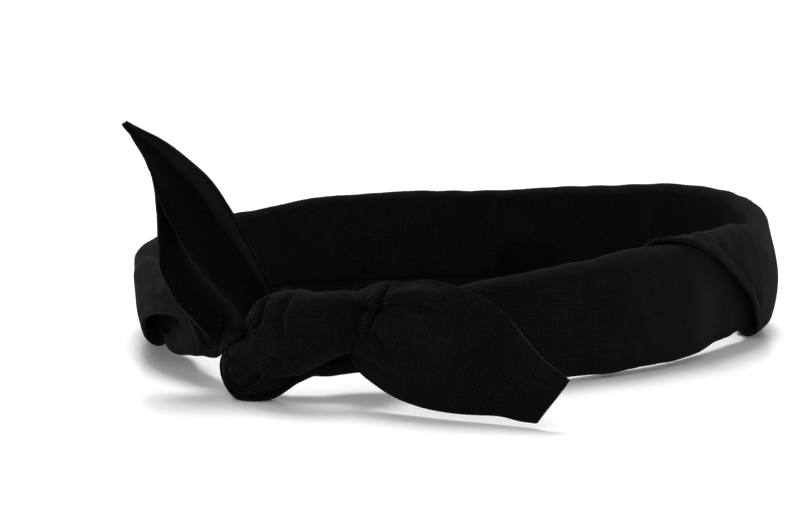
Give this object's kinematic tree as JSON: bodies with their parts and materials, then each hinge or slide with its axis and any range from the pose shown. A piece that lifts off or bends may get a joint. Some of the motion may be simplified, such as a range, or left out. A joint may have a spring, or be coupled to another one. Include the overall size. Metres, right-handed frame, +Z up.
{
  "type": "knotted headband",
  "caption": "Black linen headband: a rolled strip closed into an oval loop by a half knot, with one wired tail standing up and one lying out to the side.",
  "frame": {"origin": "on the table, under the middle of the headband's outline", "axes": "+Z up, away from the table; -Y towards the knot at the front; +X to the side that the low tail points to; the loop is longest front to back, along Y"},
  "size_m": [0.1876, 0.2013, 0.0704],
  "materials": {
    "black_linen": "matt black plain-weave linen",
    "linen_underside": "matt black plain-weave linen, inner layer",
    "sewing_thread": "black spun thread",
    "steel_wire": "soft bare steel wire",
    "wire_cap": "soft black cap"
  },
  "bodies": {
    "band": {"band_face": "black_linen", "band_lining": "linen_underside", "band_wire": "steel_wire", "band_seam_upper": "sewing_thread", "band_seam_lower": "sewing_thread", "turning_gap_stitches": "sewing_thread", "knot_front_pass": "black_linen", "knot_under_pass": "black_linen", "knot_bottom_fold": "black_linen"},
    "upright_tail": {"upright_tail_face": "black_linen", "upright_tail_lining": "linen_underside", "upright_tail_seam": "sewing_thread", "upright_tail_wire": "steel_wire", "upright_tail_wire_cap": "wire_cap"},
    "low_tail": {"low_tail_face": "black_linen", "low_tail_lining": "linen_underside", "low_tail_seam": "sewing_thread", "low_tail_wire": "steel_wire", "low_tail_wire_cap": "wire_cap"}
  },
  "joints": [
    {"name": "upright_tail_bend", "type": "hinge", "parent": "band", "child": "upright_tail", "pos_m": [-0.013, -0.0937, 0.0225], "axis": [0.9092, 0, 0.4163], "range_deg": [-12, 55]},
    {"name": "low_tail_bend", "type": "hinge", "parent": "band", "child": "low_tail", "pos_m": [0.0315, -0.0902, 0.02], "axis": [0, -1, 0], "range_deg": [0, 60]}
  ]
}
